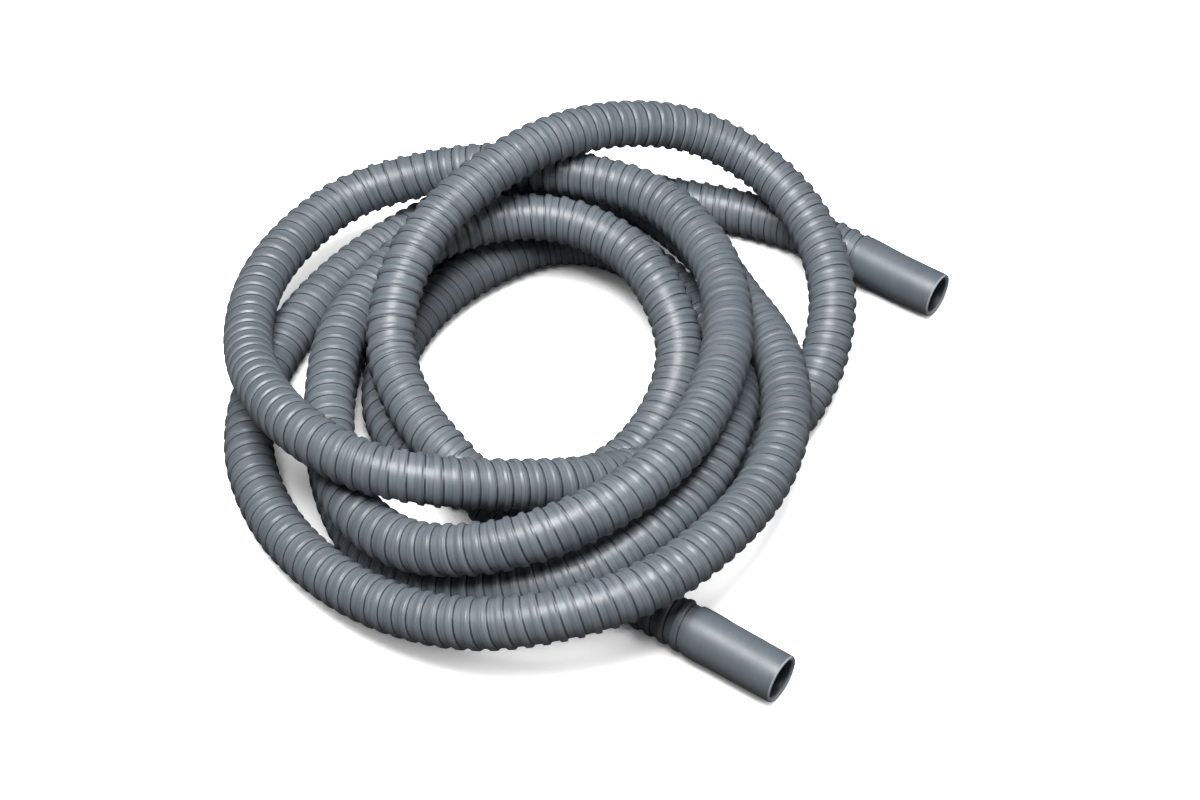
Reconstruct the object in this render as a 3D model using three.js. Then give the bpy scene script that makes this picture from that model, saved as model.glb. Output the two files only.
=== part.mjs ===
// Grey corrugated drain hose, lying in a loose coil with both cuffs pointing the same way.
// Millimetres, +Z up, the floor at z = 0, both cuffs open towards +X.
import * as THREE from "three";

const HOSE_RADIUS = 13;
const HOSE_WALL = 2;
const STRAND_GAP = 0.4;
const CUFF_LENGTH = 48;
const CUFF_TAPER = 0.6;
const CUFF_WALL = 2.65;
const RIM_CHAMFER = 0.65;
const RING_SPACING = 32;
const HOSE_SIDES = 12;
const CUFF_SIDES = 24;

const HOSE_BORE_RADIUS = HOSE_RADIUS - HOSE_WALL;
const LEVEL_STEP = 2 * HOSE_RADIUS + STRAND_GAP;
const RIM_RADIUS = HOSE_RADIUS - CUFF_TAPER;
const CUFF_BORE_RADIUS = RIM_RADIUS - CUFF_WALL;
const TAPER_END = 0.75 * CUFF_LENGTH;
const BORE_STEP_START = 0.7 * CUFF_LENGTH;
const CENTRE_SHIFT_X = 5.4;
const CENTRE_SHIFT_Y = -0.3;

// Each point is x, y and the level of the hose above the floor: 0 lies on it, 1 on one strand, 2 on two
const ROUTE = [
  // End A and the long run along the back
  [118, 172, 0], [94, 172, 0], [70, 173, 0], [46, 174, 0], [0, 167, 0], [-51, 149, 0],
  [-99, 127, 0], [-132, 90, 0], [-150, 43, 0], [-157, -6, 0], [-152, -56, 0], [-138, -98, 0],
  // The outer turn across the front, climbing towards the right
  [-114, -131, 0], [-79, -155, 0], [-34, -170, 0.2], [13, -173, 0.5], [56, -164, 0.9], [89, -142, 1.2],
  [113, -110, 1.3], [125, -67, 1.3], [125, -20, 1.2], [111, 24, 1.2], [82, 61, 1.1], [41, 90, 0.8],
  // The second turn, over the back and down on the left
  [-7, 117, 0.6], [-54, 124, 0.6], [-92, 105, 0.55], [-117, 69, 0.5], [-129, 23, 0.2], [-129, -22, 0],
  [-114, -61, 0], [-89, -97, 0], [-57, -127, 0], [-22, -145, 0], [15, -148, 0.2], [49, -138, 0.6],
  [77, -115, 0.9], [95, -80, 1.1], [99, -38, 1.1], [88, 8, 1.1], [62, 51, 0.4], [25, 79, 0],
  // The innermost turn, on the floor until it climbs at the right
  [-13, 97, 0], [-50, 100, 0], [-79, 84, 0], [-98, 47, 0], [-104, 2, 0], [-94, -40, 0],
  [-70, -71, 0], [-36, -84, 0], [0, -79, 0], [30, -59, 0], [45, -25, 0], [45, 14, 0.2],
  [33, 45, 0.6], [7, 66, 1], [-27, 80, 1.1], [-65, 76, 1.2], [-96, 54, 1.2], [-115, 21, 1.15],
  // The third turn, on top of the second
  [-121, -18, 1], [-112, -56, 1], [-91, -91, 1], [-63, -123, 1], [-31, -145, 1.1], [6, -151, 1.3],
  [41, -140, 1.7], [68, -115, 2], [84, -80, 2.1], [89, -39, 2.15], [81, 4, 2.1], [60, 48, 1.9],
  [26, 85, 1.8], [-23, 107, 1.7], [-70, 102, 1.6], [-112, 82, 1.6], [-150, 60, 1.2], [-176, 30, 0.9],
  // The loop out to the left, over the front strands and down inside to the floor
  [-182, -10, 0.8], [-172, -51, 0.9], [-146, -90, 1.1], [-107, -120, 1.6], [-66, -136, 2], [-28, -137, 2.1],
  [4, -123, 2], [28, -101, 1.7], [50, -73, 1.3], [67, -36, 0.7], [85, -4, 0.1], [98, 28, 0],
  // The last turn, up over the back, down on the left and beneath the front strands to End B
  [99, 62, 0], [92, 97, 0.3], [74, 130, 0.7], [41, 158, 1], [2, 171, 1.3], [-36, 162, 1.8],
  [-64, 130, 2.35], [-84, 91, 2.6], [-97, 46, 2.5], [-101, 5, 2.2], [-94, -29, 1.8], [-77, -57, 1.3],
  [-47, -78, 1.1], [-10, -92, 1], [31, -97, 0.4], [72, -96, 0], [111, -93, 0], [136, -93, 0],
  [160, -93, 0], [184, -93, 0],
];

// A cuff's outside, from its rim: a chamfer, a slight taper and a faint step before the corrugations
const CUFF_OUTSIDE = [
  { fromRim: 0, radius: RIM_RADIUS - RIM_CHAMFER },
  { fromRim: RIM_CHAMFER, radius: RIM_RADIUS },
  { fromRim: TAPER_END, radius: HOSE_RADIUS - 0.4 * CUFF_TAPER },
  { fromRim: TAPER_END + CUFF_TAPER, radius: HOSE_RADIUS },
  { fromRim: CUFF_LENGTH, radius: HOSE_RADIUS },
];

// A cuff's bore, from its rim, widening to the bore of the hose
const CUFF_INSIDE = [
  { fromRim: 0, radius: CUFF_BORE_RADIUS + RIM_CHAMFER },
  { fromRim: RIM_CHAMFER, radius: CUFF_BORE_RADIUS },
  { fromRim: BORE_STEP_START, radius: CUFF_BORE_RADIUS },
  { fromRim: CUFF_LENGTH, radius: HOSE_BORE_RADIUS },
];

function hoseCurve() {
  const points = ROUTE.map(([x, y, level]) =>
    new THREE.Vector3(x + CENTRE_SHIFT_X, y + CENTRE_SHIFT_Y, HOSE_RADIUS + level * LEVEL_STEP));
  const curve = new THREE.CatmullRomCurve3(points, false, "centripetal");
  curve.arcLengthDivisions = 4000;
  return curve;
}

// The rings of the outside or the bore, in order from End A to End B
function ringPlan(length, cuff, hoseRadius) {
  const plan = cuff.map(({ fromRim, radius }) => ({ at: fromRim, radius, sides: CUFF_SIDES }));
  const between = length - 2 * CUFF_LENGTH;
  const steps = Math.round(between / RING_SPACING);
  for (let i = 1; i < steps; i++) {
    plan.push({ at: CUFF_LENGTH + (between * i) / steps, radius: hoseRadius, sides: HOSE_SIDES });
  }
  const far = cuff.map(({ fromRim, radius }) => ({ at: length - fromRim, radius, sides: CUFF_SIDES }));
  return plan.concat(far.reverse());
}

// Adds one ring of points, square to the hose, the first point straight below its axis
function addRing(positions, curve, length, { at, radius, sides }) {
  const along = Math.min(at / length, 1);
  const centre = curve.getPointAt(along);
  centre.z = Math.max(centre.z, HOSE_RADIUS);
  const tangent = curve.getTangentAt(along);
  const side = new THREE.Vector3(0, 0, 1).cross(tangent).normalize();
  const lift = tangent.clone().cross(side);
  const ring = [];
  for (let k = 0; k < sides; k++) {
    const angle = (2 * Math.PI * k) / sides - Math.PI / 2;
    const point = centre.clone();
    point.addScaledVector(side, radius * Math.cos(angle));
    point.addScaledVector(lift, radius * Math.sin(angle));
    ring.push(positions.length / 3);
    positions.push(point.x, point.y, point.z);
  }
  return ring;
}

// Joins two rings of the same number of points
function joinEven(faces, a, b) {
  for (let k = 0; k < a.length; k++) {
    const next = (k + 1) % a.length;
    faces.push(a[k], a[next], b[next], a[k], b[next], b[k]);
  }
}

// Joins a fine ring to a coarse one of half as many points
function joinFineToCoarse(faces, fine, coarse, flip) {
  for (let k = 0; k < coarse.length; k++) {
    const next = (k + 1) % coarse.length;
    const first = fine[2 * k];
    const middle = fine[2 * k + 1];
    const last = fine[(2 * k + 2) % fine.length];
    const trio = [
      [first, middle, coarse[k]],
      [middle, coarse[next], coarse[k]],
      [middle, last, coarse[next]],
    ];
    trio.forEach(([p, q, r]) => faces.push(...(flip ? [p, r, q] : [p, q, r])));
  }
}

function join(faces, a, b) {
  if (a.length === b.length) {
    joinEven(faces, a, b);
  } else if (a.length > b.length) {
    joinFineToCoarse(faces, a, b, false);
  } else {
    joinFineToCoarse(faces, b, a, true);
  }
}

// The outside from End A to End B and the bore back again, closed at both rims
function hoseGeometry() {
  const curve = hoseCurve();
  const length = curve.getLength();
  const outside = ringPlan(length, CUFF_OUTSIDE, HOSE_RADIUS);
  const inside = ringPlan(length, CUFF_INSIDE, HOSE_BORE_RADIUS);
  const plan = outside.concat(inside.reverse());
  const positions = [];
  const rings = plan.map((ring) => addRing(positions, curve, length, ring));
  const faces = [];
  rings.forEach((ring, i) => join(faces, ring, rings[(i + 1) % rings.length]));
  const geometry = new THREE.BufferGeometry();
  geometry.setAttribute("position", new THREE.Float32BufferAttribute(positions, 3));
  geometry.setIndex(faces);
  geometry.computeVertexNormals();
  return geometry;
}

const greyPlastic = new THREE.MeshStandardMaterial({ color: 0x757d85, roughness: 0.45, metalness: 0 });

const hose = new THREE.Mesh(hoseGeometry(), greyPlastic);
hose.name = "drain_hose";

const part = new THREE.Group();
part.name = "corrugated_drain_hose";
part.add(hose);

export default part;
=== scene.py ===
import math

import bpy
import numpy as np
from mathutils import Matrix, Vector


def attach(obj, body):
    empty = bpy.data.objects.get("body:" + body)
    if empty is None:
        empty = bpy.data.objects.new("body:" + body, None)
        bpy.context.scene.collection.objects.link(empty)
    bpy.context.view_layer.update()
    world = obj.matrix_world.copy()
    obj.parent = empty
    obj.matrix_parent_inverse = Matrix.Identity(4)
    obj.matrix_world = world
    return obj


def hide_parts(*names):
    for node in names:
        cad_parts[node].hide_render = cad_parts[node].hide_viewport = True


MM = 0.001

# Sizes of the hose, in millimetres
HOSE_RADIUS = 13.0
LEVEL_STEP = 26.4
CUFF_LENGTH = 48.0
CUFF_BORE_RADIUS = 9.75
HOSE_BORE_RADIUS = 10.6
BORE_STEP_START = 33.6
CENTRE_SHIFT = (5.4, -0.3)
RIB_PITCH = 7.95

# Fineness of the mesh
SIDES = 24
BORE_SIDES = 12
BORE_RING_SPACING = 16.0
ROUTE_SAMPLES = 40

# The camera, as measured from the photograph's perspective
CAMERA_AZIMUTH = 35.0
CAMERA_ELEVATION = 48.0
CAMERA_DISTANCE = 1274.0
CAMERA_LENS = 72.0
CAMERA_AIM = (9.7, 12.9, 0.0)

# Each point is x, y and the level of the hose above the floor: 0 lies on it, 1 on one strand, 2 on two
ROUTE = [
    # End A and the long run along the back
    (118, 172, 0), (94, 172, 0), (70, 173, 0), (46, 174, 0), (0, 167, 0), (-51, 149, 0),
    (-99, 127, 0), (-132, 90, 0), (-150, 43, 0), (-157, -6, 0), (-152, -56, 0), (-138, -98, 0),
    # The outer turn across the front, climbing towards the right
    (-114, -131, 0), (-79, -155, 0), (-34, -170, 0.2), (13, -173, 0.5), (56, -164, 0.9), (89, -142, 1.2),
    (113, -110, 1.3), (125, -67, 1.3), (125, -20, 1.2), (111, 24, 1.2), (82, 61, 1.1), (41, 90, 0.8),
    # The second turn, over the back and down on the left
    (-7, 117, 0.6), (-54, 124, 0.6), (-92, 105, 0.55), (-117, 69, 0.5), (-129, 23, 0.2), (-129, -22, 0),
    (-114, -61, 0), (-89, -97, 0), (-57, -127, 0), (-22, -145, 0), (15, -148, 0.2), (49, -138, 0.6),
    (77, -115, 0.9), (95, -80, 1.1), (99, -38, 1.1), (88, 8, 1.1), (62, 51, 0.4), (25, 79, 0),
    # The innermost turn, on the floor until it climbs at the right
    (-13, 97, 0), (-50, 100, 0), (-79, 84, 0), (-98, 47, 0), (-104, 2, 0), (-94, -40, 0),
    (-70, -71, 0), (-36, -84, 0), (0, -79, 0), (30, -59, 0), (45, -25, 0), (45, 14, 0.2),
    (33, 45, 0.6), (7, 66, 1), (-27, 80, 1.1), (-65, 76, 1.2), (-96, 54, 1.2), (-115, 21, 1.15),
    # The third turn, on top of the second
    (-121, -18, 1), (-112, -56, 1), (-91, -91, 1), (-63, -123, 1), (-31, -145, 1.1), (6, -151, 1.3),
    (41, -140, 1.7), (68, -115, 2), (84, -80, 2.1), (89, -39, 2.15), (81, 4, 2.1), (60, 48, 1.9),
    (26, 85, 1.8), (-23, 107, 1.7), (-70, 102, 1.6), (-112, 82, 1.6), (-150, 60, 1.2), (-176, 30, 0.9),
    # The loop out to the left, over the front strands and down inside to the floor
    (-182, -10, 0.8), (-172, -51, 0.9), (-146, -90, 1.1), (-107, -120, 1.6), (-66, -136, 2), (-28, -137, 2.1),
    (4, -123, 2), (28, -101, 1.7), (50, -73, 1.3), (67, -36, 0.7), (85, -4, 0.1), (98, 28, 0),
    # The last turn, up over the back, down on the left and beneath the front strands to End B
    (99, 62, 0), (92, 97, 0.3), (74, 130, 0.7), (41, 158, 1), (2, 171, 1.3), (-36, 162, 1.8),
    (-64, 130, 2.35), (-84, 91, 2.6), (-97, 46, 2.5), (-101, 5, 2.2), (-94, -29, 1.8), (-77, -57, 1.3),
    (-47, -78, 1.1), (-10, -92, 1), (31, -97, 0.4), (72, -96, 0), (111, -93, 0), (136, -93, 0),
    (160, -93, 0), (184, -93, 0),
]

# One pitch of the spiral: distance along the hose, radius, and the degrees by which its shading leans
RIB_PROFILE = [
    (0.00, 11.82, 0.0),
    (4.00, 11.92, -1.0),
    (4.50, 12.40, -13.0),
    (5.00, 12.86, -5.0),
    (7.05, 13.00, 1.0),
    (7.42, 12.80, 28.0),
    (7.66, 11.85, 38.0),
]

# How far the ribs take to rise beside a cuff, and how far in from a rim its painted highlight reaches
RIB_FADE = 4.0
RIM_EDGE = 0.4

# A cuff's outside and its bore, from its rim
CUFF_OUTSIDE = [(0, 11.95), (0.3, 12.25), (0.8, 12.4), (12, 12.5), (24, 12.62), (36, 12.75),
                (39, 12.95), (42, HOSE_RADIUS)]
CUFF_INSIDE = [(0, 10.95), (0.3, 10.6), (1.6, CUFF_BORE_RADIUS), (17, CUFF_BORE_RADIUS),
               (BORE_STEP_START, CUFF_BORE_RADIUS), (CUFF_LENGTH, HOSE_BORE_RADIUS)]

# Places along one pitch, as shares of it: the dark line and the faint line of painted groove shade, and the
# middle of the bead
DARK_LINE = 0.07
FAINT_LINE = 0.52
BEAD_MIDDLE = 0.78

# Colours
PLASTIC = (0.076, 0.093, 0.110, 1)
CLOUDED_PLASTIC = (0.101, 0.119, 0.136, 1)
# Pale tone of the streaks round the hose, also used as a painted highlight beside each groove
PALE_STREAK_AND_HIGHLIGHT = (0.195, 0.216, 0.238, 1)
SCUFFED_PLASTIC = (0.30, 0.32, 0.34, 1)
RIM_HIGHLIGHT = (0.34, 0.37, 0.40, 1)
# Painted shade, for the grooves and the bores
SHADE = (0.016, 0.020, 0.026, 1)
FLOOR_SEEN = (0.97, 0.97, 0.965, 1)
FLOOR_BOUNCE = (0.10, 0.10, 0.10, 1)

# The floor: its size and how far the shade in narrow gaps reaches, in metres, and its glow to the camera
FLOOR_SIZE = 12.0
GAP_REACH = 0.05
FLOOR_GLOW = 0.86

# How strongly the white surroundings light the hose
WORLD_LIGHT = 0.03

# Each light's name, azimuth and elevation in degrees, distance and size in metres, and power
LIGHTS = [
    ("key", 8, 80, 1.6, 0.85, 52.0),
    ("left", 300, 40, 2.2, 1.2, 2.0),
    ("right", 100, 28, 2.0, 0.8, 6.0),
]


class HoseLine:
    """The hose's centreline, measured by the distance from End A's rim, in millimetres."""

    def __init__(self):
        points = np.array([self.lifted(point) for point in ROUTE])
        self.points = smooth_curve(points)
        self.points[:, 2] = np.maximum(self.points[:, 2], HOSE_RADIUS)
        steps = np.linalg.norm(np.diff(self.points, axis=0), axis=1)
        self.distances = np.concatenate([[0.0], np.cumsum(steps)])
        self.length = self.distances[-1]
        tangents = np.gradient(self.points, self.distances, axis=0)
        self.tangents = tangents / np.linalg.norm(tangents, axis=1)[:, None]

    @staticmethod
    def lifted(point):
        x, y, level = point
        return (x + CENTRE_SHIFT[0], y + CENTRE_SHIFT[1], HOSE_RADIUS + level * LEVEL_STEP)

    def at(self, distances):
        return self.along(self.points, distances)

    def frames(self, distances):
        """Unit vectors along the hose, to its side and up from it."""
        tangent = unit(self.along(self.tangents, distances))
        side = unit(np.cross((0.0, 0.0, 1.0), tangent))
        return tangent, side, np.cross(tangent, side)

    def along(self, values, distances):
        parts = [np.interp(distances, self.distances, values[:, axis]) for axis in range(3)]
        return np.stack(parts, axis=-1)


def unit(vectors):
    return vectors / np.linalg.norm(vectors, axis=-1, keepdims=True)


def smooth_curve(points):
    """A centripetal Catmull-Rom curve through the points."""
    before = 2 * points[0] - points[1]
    after = 2 * points[-1] - points[-2]
    padded = np.vstack([before, points, after])
    curve = []
    for i in range(1, len(padded) - 2):
        curve.append(curve_span(padded[i - 1:i + 3]))
    curve.append(points[-1:])
    return np.vstack(curve)


def curve_span(four):
    """The samples between the two middle points of four."""
    knots = np.concatenate([[0.0], np.cumsum(np.sqrt(np.linalg.norm(np.diff(four, axis=0), axis=1)))])
    t = np.linspace(knots[1], knots[2], ROUTE_SAMPLES, endpoint=False)[:, None]
    rows = list(four)
    for order in (1, 2):
        rows = [blend_between(rows[i], rows[i + 1], knots[i], knots[i + order], t) for i in range(4 - order)]
    return blend_between(rows[0], rows[1], knots[1], knots[2], t)


def blend_between(a, b, start, end, t):
    return ((end - t) * a + (t - start) * b) / (end - start)


class HoseMesh:
    """Collects the rings and spiral rows of the hose's surface."""

    def __init__(self, line):
        self.line = line
        self.vertices = []
        self.normals = []
        self.turns = []
        self.ribbed = []
        self.rim = []
        self.bore = []
        self.faces = []
        self.count = 0

    def add(self, distances, angles, radii, leans=0.0, ribbed=0.0, rim=0.0, bore=0.0):
        """Adds points on the hose's surface and gives their numbers."""
        centre = self.line.at(distances)
        tangent, side, lift = self.line.frames(distances)
        outward = side * np.cos(angles)[:, None] + lift * np.sin(angles)[:, None]
        lean = np.broadcast_to(np.radians(leans), distances.shape)[:, None]
        shown = np.broadcast_to(ribbed, distances.shape)
        self.vertices.append((centre + outward * np.asarray(radii)[..., None]) * MM)
        # A zero normal, on points without ribs, is left for Blender to work out
        self.normals.append((outward * np.cos(lean) + tangent * np.sin(lean)) * (shown > 0)[:, None])
        self.turns.append((distances - CUFF_LENGTH) / RIB_PITCH - (angles + math.pi / 2) / (2 * math.pi))
        self.ribbed.append(shown)
        self.rim.append(np.full(len(distances), float(rim)))
        self.bore.append(np.full(len(distances), float(bore)))
        first = self.count
        self.count += len(distances)
        return np.arange(first, self.count)

    def ring(self, distance, radius, sides, rim=0.0, bore=0.0):
        distances = np.full(sides, float(distance))
        radii = np.full(sides, float(radius))
        return self.add(distances, ring_angles(sides), radii, rim=rim, bore=bore)

    def join(self, a, b):
        if len(a) == len(b):
            self.join_even(a, b)
        elif len(a) > len(b):
            self.join_fine_to_coarse(a, b, False)
        else:
            self.join_fine_to_coarse(b, a, True)

    def join_even(self, a, b):
        for k in range(len(a)):
            after = (k + 1) % len(a)
            self.faces.append((a[k], a[after], b[after], b[k]))

    def join_fine_to_coarse(self, fine, coarse, flip):
        for k in range(len(coarse)):
            after = (k + 1) % len(coarse)
            first, middle, last = fine[2 * k], fine[2 * k + 1], fine[(2 * k + 2) % len(fine)]
            here, there = coarse[k], coarse[after]
            trio = [(first, middle, here), (middle, there, here), (middle, last, there)]
            self.faces.extend(face[::-1] if flip else face for face in trio)


def ring_angles(sides):
    return 2 * math.pi * np.arange(sides) / sides - math.pi / 2


def rib_fade(distances, start, end):
    """How far the ribs stand out: all along the hose, and fading where they meet the cuffs."""
    near = np.clip(np.minimum(distances - start, end - distances) / RIB_FADE, 0.0, 1.0)
    return near * near * (3 - 2 * near)


def add_spiral(mesh, first_ring, last_ring, start, end):
    """The ribbed surface between two rings: rows that follow the spiral, each turn meeting the next."""
    rows_per_turn = len(RIB_PROFILE)
    turns = math.ceil((end - start) / RIB_PITCH) + 1
    angles = ring_angles(SIDES)
    first, last = (start, first_ring), (end, last_ring)
    rows = []
    for turn in range(-1, turns):
        for offset, radius, lean in RIB_PROFILE:
            distances = start + turn * RIB_PITCH + offset + RIB_PITCH * np.arange(SIDES) / SIDES
            rows.append(spiral_row(mesh, distances, angles, radius, lean, first, last))
    for i in range(len(rows) - rows_per_turn - 1):
        this_row = np.append(rows[i], rows[i + rows_per_turn][0])
        next_row = np.append(rows[i + 1], rows[i + 1 + rows_per_turn][0])
        for k in range(SIDES):
            add_face(mesh, (this_row[k], this_row[k + 1], next_row[k + 1], next_row[k]))


def spiral_row(mesh, distances, angles, radius, lean, first, last):
    """One row's points, where those past either end are the points of the ring there."""
    start, first_ring = first
    end, last_ring = last
    numbers = np.where(distances <= start, first_ring, last_ring)
    inside = (distances > start) & (distances < end)
    if inside.any():
        fade = rib_fade(distances[inside], start, end)
        radii = HOSE_RADIUS + (radius - HOSE_RADIUS) * fade
        # Never quite 0, so that faded ribs keep their own normals
        shown = np.maximum(fade, 1e-4)
        numbers[inside] = mesh.add(distances[inside], angles[inside], radii, lean * fade, shown)
    return numbers


def add_face(mesh, corners):
    kept = [corner for k, corner in enumerate(corners) if corner != corners[k - 1]]
    if len(kept) > 2:
        mesh.faces.append(tuple(kept))


def add_cuff(mesh, profile, from_rim_to_distance, inside=False):
    """A cuff's rings, marking those of its rim and of its bore."""
    rings = []
    for at, radius in profile:
        at_rim = at < RIM_EDGE
        in_bore = inside and not at_rim
        rings.append(mesh.ring(from_rim_to_distance(at), radius, SIDES, rim=at_rim, bore=in_bore))
    return rings


def add_bore_rings(mesh, start, end):
    steps = round((end - start) / BORE_RING_SPACING)
    places = [start + (end - start) * i / steps for i in range(1, steps)]
    return [mesh.ring(place, HOSE_BORE_RADIUS, BORE_SIDES, bore=1.0) for place in places]


def join_all(mesh, rings):
    for a, b in zip(rings, rings[1:]):
        mesh.join(a, b)


def build_hose_mesh(line):
    """The whole surface: cuff, ribs and cuff outside, and the bore back again, closed at both rims."""
    mesh = HoseMesh(line)
    start, end = CUFF_LENGTH, line.length - CUFF_LENGTH
    root = [(CUFF_LENGTH, HOSE_RADIUS)]
    near = add_cuff(mesh, CUFF_OUTSIDE + root, lambda at: at)
    far = add_cuff(mesh, CUFF_OUTSIDE + root, lambda at: line.length - at)[::-1]
    join_all(mesh, near)
    add_spiral(mesh, near[-1], far[0], start, end)
    join_all(mesh, far)
    near_bore = add_cuff(mesh, CUFF_INSIDE, lambda at: at, inside=True)
    far_bore = add_cuff(mesh, CUFF_INSIDE, lambda at: line.length - at, inside=True)[::-1]
    bore = near_bore + add_bore_rings(mesh, start, end) + far_bore
    join_all(mesh, [far[-1]] + bore[::-1] + [near[0]])
    return mesh


def hose_object(mesh):
    """The mesh as an object, with its spiral's turns and its ribs, rims and bore marked for its material."""
    data = bpy.data.meshes.new("drain_hose_surface")
    vertices = np.vstack(mesh.vertices)
    data.from_pydata(vertices.tolist(), [], [tuple(int(n) for n in face) for face in mesh.faces])
    for name in ("turns", "ribbed", "rim", "bore"):
        attribute = data.attributes.new(name, "FLOAT", "POINT")
        attribute.data.foreach_set("value", np.concatenate(getattr(mesh, name)).astype(np.float32))
    data.update()
    data.shade_smooth()
    data.normals_split_custom_set_from_vertices(np.vstack(mesh.normals).tolist())
    hose = bpy.data.objects.new("drain_hose_surface", data)
    bpy.context.collection.objects.link(hose)
    return hose


class Nodes:
    """Short calls for building a material's node tree."""

    def __init__(self, name):
        self.material = bpy.data.materials.new(name)
        self.material.use_nodes = True
        self.tree = self.material.node_tree
        self.tree.nodes.clear()

    def node(self, kind, **settings):
        node = self.tree.nodes.new(kind)
        for name, value in settings.items():
            setattr(node, name, value)
        return node

    def link(self, output, socket):
        if isinstance(output, (int, float, tuple)):
            socket.default_value = output
        else:
            self.tree.links.new(output, socket)

    def math(self, operation, a, b=0.0):
        node = self.node("ShaderNodeMath", operation=operation)
        self.link(a, node.inputs[0])
        self.link(b, node.inputs[1])
        return node.outputs[0]

    def attribute(self, name):
        return self.node("ShaderNodeAttribute", attribute_name=name).outputs["Fac"]

    def spread(self, value, low, high, to_low=0.0, to_high=1.0):
        node = self.node("ShaderNodeMapRange", interpolation_type="SMOOTHSTEP")
        for socket, number in zip(node.inputs, (value, low, high, to_low, to_high)):
            self.link(number, socket)
        return node.outputs[0]

    def noise(self, vector, scale, detail, w=None):
        node = self.node("ShaderNodeTexNoise", noise_dimensions="3D" if w is None else "4D")
        self.link(vector, node.inputs["Vector"])
        if w is not None:
            self.link(w, node.inputs["W"])
        node.inputs["Scale"].default_value = scale
        node.inputs["Detail"].default_value = detail
        return node.outputs["Fac"]

    def mix(self, factor, a, b):
        """A mix of two colours, for which this node has inputs 6 and 7 and output 2."""
        node = self.node("ShaderNodeMix", data_type="RGBA")
        self.link(factor, node.inputs["Factor"])
        self.link(a, node.inputs[6])
        self.link(b, node.inputs[7])
        return node.outputs[2]

    def finish(self, shader):
        output = self.node("ShaderNodeOutputMaterial")
        self.tree.links.new(shader, output.inputs["Surface"])
        return self.material


def crease(nodes, turns, place, half_width):
    """1 along one line of the spiral, a given share of the pitch along, falling to 0 at its half width."""
    offset = nodes.math("FRACT", nodes.math("ADD", turns, 0.5 - place))
    distance = nodes.math("ABSOLUTE", nodes.math("SUBTRACT", offset, 0.5))
    return nodes.spread(distance, half_width, 0.35 * half_width)


def grey_plastic():
    """Satin grey plastic: painted shade as dark lines in the grooves and in the bore, painted highlights on
    the rims, streaks round the hose, clouds, faint scuffs.
    """
    nodes = Nodes("grey_plastic")
    place = nodes.node("ShaderNodeTexCoord").outputs["Object"]
    turns = nodes.attribute("turns")
    ribbed = nodes.attribute("ribbed")
    streaks = nodes.noise(place, 22.0, 2.0, nodes.math("MULTIPLY", turns, 0.3))
    clouds = nodes.noise(place, 28.0, 3.0)
    shader = nodes.node("ShaderNodeBsdfPrincipled")
    nodes.link(plastic_colour(nodes, place, turns, ribbed, streaks, clouds), shader.inputs["Base Color"])
    nodes.link(plastic_bump(nodes, turns, ribbed, streaks, clouds), shader.inputs["Normal"])
    rough = nodes.spread(streaks, 0.2, 0.8, 0.42, 0.54)
    rough = nodes.math("SUBTRACT", rough, nodes.math("MULTIPLY", ribbed, 0.04))
    nodes.link(rough, shader.inputs["Roughness"])
    shader.inputs["IOR"].default_value = 1.58
    return nodes.finish(shader.outputs["BSDF"])


def plastic_colour(nodes, place, turns, ribbed, streaks, clouds):
    """Clouded grey, with streaks and scuffs, a painted highlight beside each dark line of painted groove
    shade, then a painted highlight on the rims and painted shade in the bore.
    """
    streak_share = nodes.math("ADD", nodes.math("MULTIPLY", ribbed, 0.27), 0.08)
    streak_share = nodes.math("MULTIPLY", nodes.spread(streaks, 0.3, 0.7), streak_share)
    scuffs = nodes.spread(nodes.noise(place, 160.0, 4.0), 0.62, 0.74)
    # A painted highlight along the rounded edge beside each dark line
    edge_highlight = nodes.math("MULTIPLY", crease(nodes, turns, DARK_LINE, 0.165), ribbed)
    # Painted shade in the grooves: a strong dark line and a faint one
    groove_shade = nodes.math("MULTIPLY", crease(nodes, turns, DARK_LINE, 0.085), 0.95)
    faint_groove_shade = nodes.math("MULTIPLY", crease(nodes, turns, FAINT_LINE, 0.045), 0.30)
    lines = nodes.math("MULTIPLY", nodes.math("ADD", groove_shade, faint_groove_shade), ribbed)
    colour = nodes.mix(clouds, PLASTIC, CLOUDED_PLASTIC)
    colour = nodes.mix(streak_share, colour, PALE_STREAK_AND_HIGHLIGHT)
    colour = nodes.mix(nodes.math("MULTIPLY", scuffs, 0.10), colour, SCUFFED_PLASTIC)
    colour = nodes.mix(nodes.math("MULTIPLY", edge_highlight, 0.35), colour, PALE_STREAK_AND_HIGHLIGHT)
    colour = nodes.mix(lines, colour, SHADE)
    # A painted highlight on each rim's lip
    colour = nodes.mix(nodes.attribute("rim"), colour, RIM_HIGHLIGHT)
    # Painted shade inside each bore
    return nodes.mix(nodes.math("MULTIPLY", nodes.attribute("bore"), 0.75), colour, SHADE)


def plastic_bump(nodes, turns, ribbed, streaks, clouds):
    """Fine streaks, strongest on the beads, over a faint unevenness."""
    bead = crease(nodes, turns, BEAD_MIDDLE, 0.22)
    height = nodes.math("MULTIPLY", streaks, nodes.math("ADD", nodes.math("MULTIPLY", bead, 0.7), 0.15))
    height = nodes.math("MULTIPLY", height, ribbed)
    height = nodes.math("ADD", height, nodes.math("MULTIPLY", clouds, 0.15))
    bump = nodes.node("ShaderNodeBump")
    bump.inputs["Strength"].default_value = 0.65
    bump.inputs["Distance"].default_value = 0.0006
    nodes.link(height, bump.inputs["Height"])
    return bump.outputs["Normal"]


def make_hose():
    line = HoseLine()
    mesh = build_hose_mesh(line)
    hose = hose_object(mesh)
    hose.data.materials.append(grey_plastic())
    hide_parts("drain_hose")
    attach(hose, "root")


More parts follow.
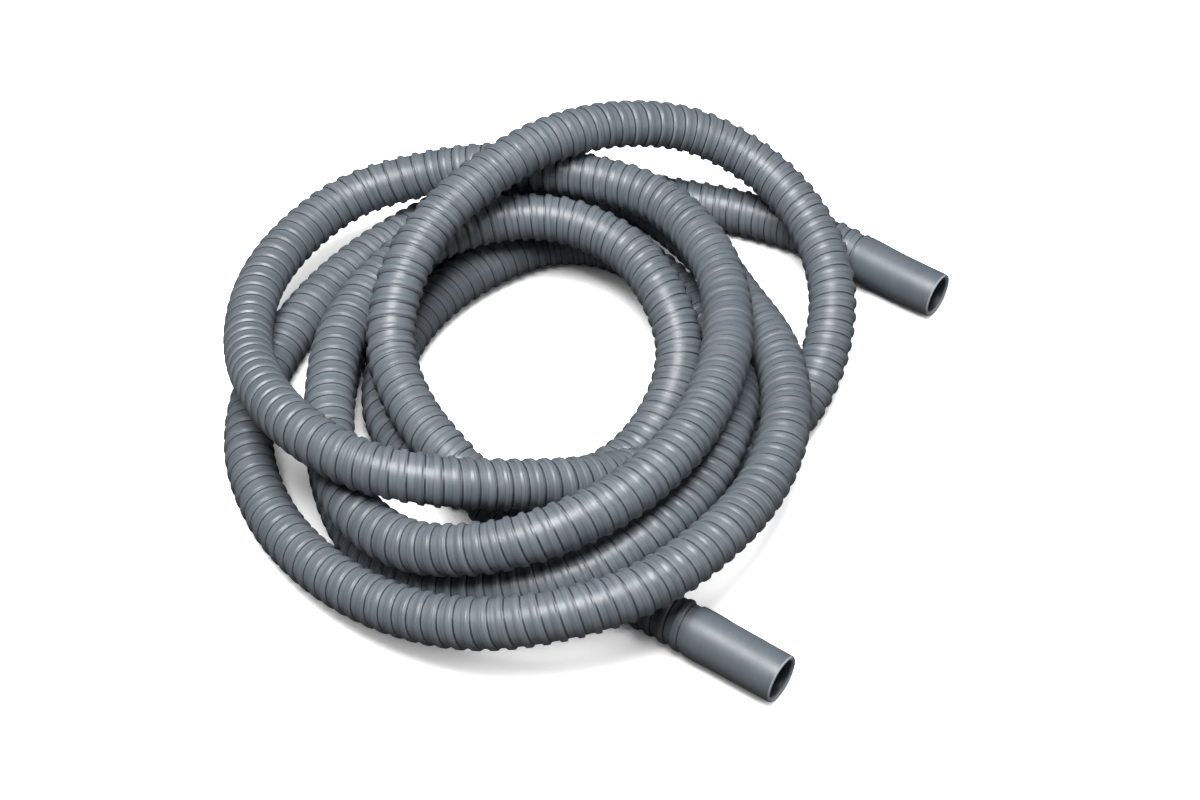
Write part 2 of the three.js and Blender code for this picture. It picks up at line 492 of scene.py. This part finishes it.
def white_floor():
    """A white floor that the camera sees brightly, so its lit part is pure white and its gaps stay dark."""
    nodes = Nodes("white_floor")
    seen = nodes.node("ShaderNodeLightPath").outputs["Is Camera Ray"]
    diffuse = nodes.node("ShaderNodeBsdfDiffuse")
    nodes.link(nodes.mix(seen, FLOOR_BOUNCE, FLOOR_SEEN), diffuse.inputs["Color"])
    openness = nodes.node("ShaderNodeAmbientOcclusion", samples=32)
    openness.inputs["Distance"].default_value = GAP_REACH
    open_share = nodes.spread(openness.outputs["AO"], 0.10, 0.72)
    glow = nodes.node("ShaderNodeEmission")
    glow_share = nodes.math("MULTIPLY", seen, open_share)
    nodes.link(nodes.math("MULTIPLY", glow_share, FLOOR_GLOW), glow.inputs["Strength"])
    both = nodes.node("ShaderNodeAddShader")
    nodes.link(diffuse.outputs["BSDF"], both.inputs[0])
    nodes.link(glow.outputs["Emission"], both.inputs[1])
    return nodes.finish(both.outputs["Shader"])


def make_floor():
    bpy.ops.mesh.primitive_plane_add(size=FLOOR_SIZE, location=(0, 0, 0))
    floor = bpy.context.object
    floor.name = "floor"
    floor.data.materials.append(white_floor())


def make_world():
    """White all round, pure white to the camera and gentler as light."""
    world = bpy.data.worlds.new("studio")
    world.use_nodes = True
    tree = world.node_tree
    background = tree.nodes["Background"]
    path = tree.nodes.new("ShaderNodeLightPath")
    strength = tree.nodes.new("ShaderNodeMapRange")
    tree.links.new(path.outputs["Is Camera Ray"], strength.inputs["Value"])
    strength.inputs["To Min"].default_value = WORLD_LIGHT
    strength.inputs["To Max"].default_value = 1.0
    tree.links.new(strength.outputs["Result"], background.inputs["Strength"])
    background.inputs["Color"].default_value = (1.0, 1.0, 1.0, 1.0)
    bpy.context.scene.world = world


def make_light(name, azimuth, elevation, distance, size, power):
    """A square soft light, aimed at the coil from a direction given as the camera's is."""
    data = bpy.data.lights.new(name, "AREA")
    data.shape = "SQUARE"
    data.size = size
    data.energy = power
    light = bpy.data.objects.new(name, data)
    light.location = direction(azimuth, elevation) * distance
    light.rotation_mode = "QUATERNION"
    light.rotation_quaternion = (-light.location).to_track_quat("-Z", "Y")
    bpy.context.collection.objects.link(light)


def direction(azimuth, elevation):
    a, e = math.radians(azimuth), math.radians(elevation)
    return Vector((math.sin(a) * math.cos(e), -math.cos(a) * math.cos(e), math.sin(e)))


def make_camera():
    data = bpy.data.cameras.new("camera")
    data.lens = CAMERA_LENS
    camera = bpy.data.objects.new("camera", data)
    back = direction(CAMERA_AZIMUTH, CAMERA_ELEVATION)
    camera.location = Vector(CAMERA_AIM) * MM + back * CAMERA_DISTANCE * MM
    camera.rotation_mode = "QUATERNION"
    camera.rotation_quaternion = (-back).to_track_quat("-Z", "Y")
    bpy.context.collection.objects.link(camera)
    bpy.context.scene.camera = camera


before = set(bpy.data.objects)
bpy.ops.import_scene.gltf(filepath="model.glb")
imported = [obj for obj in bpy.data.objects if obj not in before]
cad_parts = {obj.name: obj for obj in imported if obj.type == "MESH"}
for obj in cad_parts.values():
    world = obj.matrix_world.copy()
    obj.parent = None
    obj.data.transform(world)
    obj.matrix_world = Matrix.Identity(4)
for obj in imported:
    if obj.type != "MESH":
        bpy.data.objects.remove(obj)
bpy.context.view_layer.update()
make_camera()
make_hose()
make_floor()
make_world()
for light in LIGHTS:
    make_light(*light)
bpy.context.scene.view_settings.view_transform = "Standard"
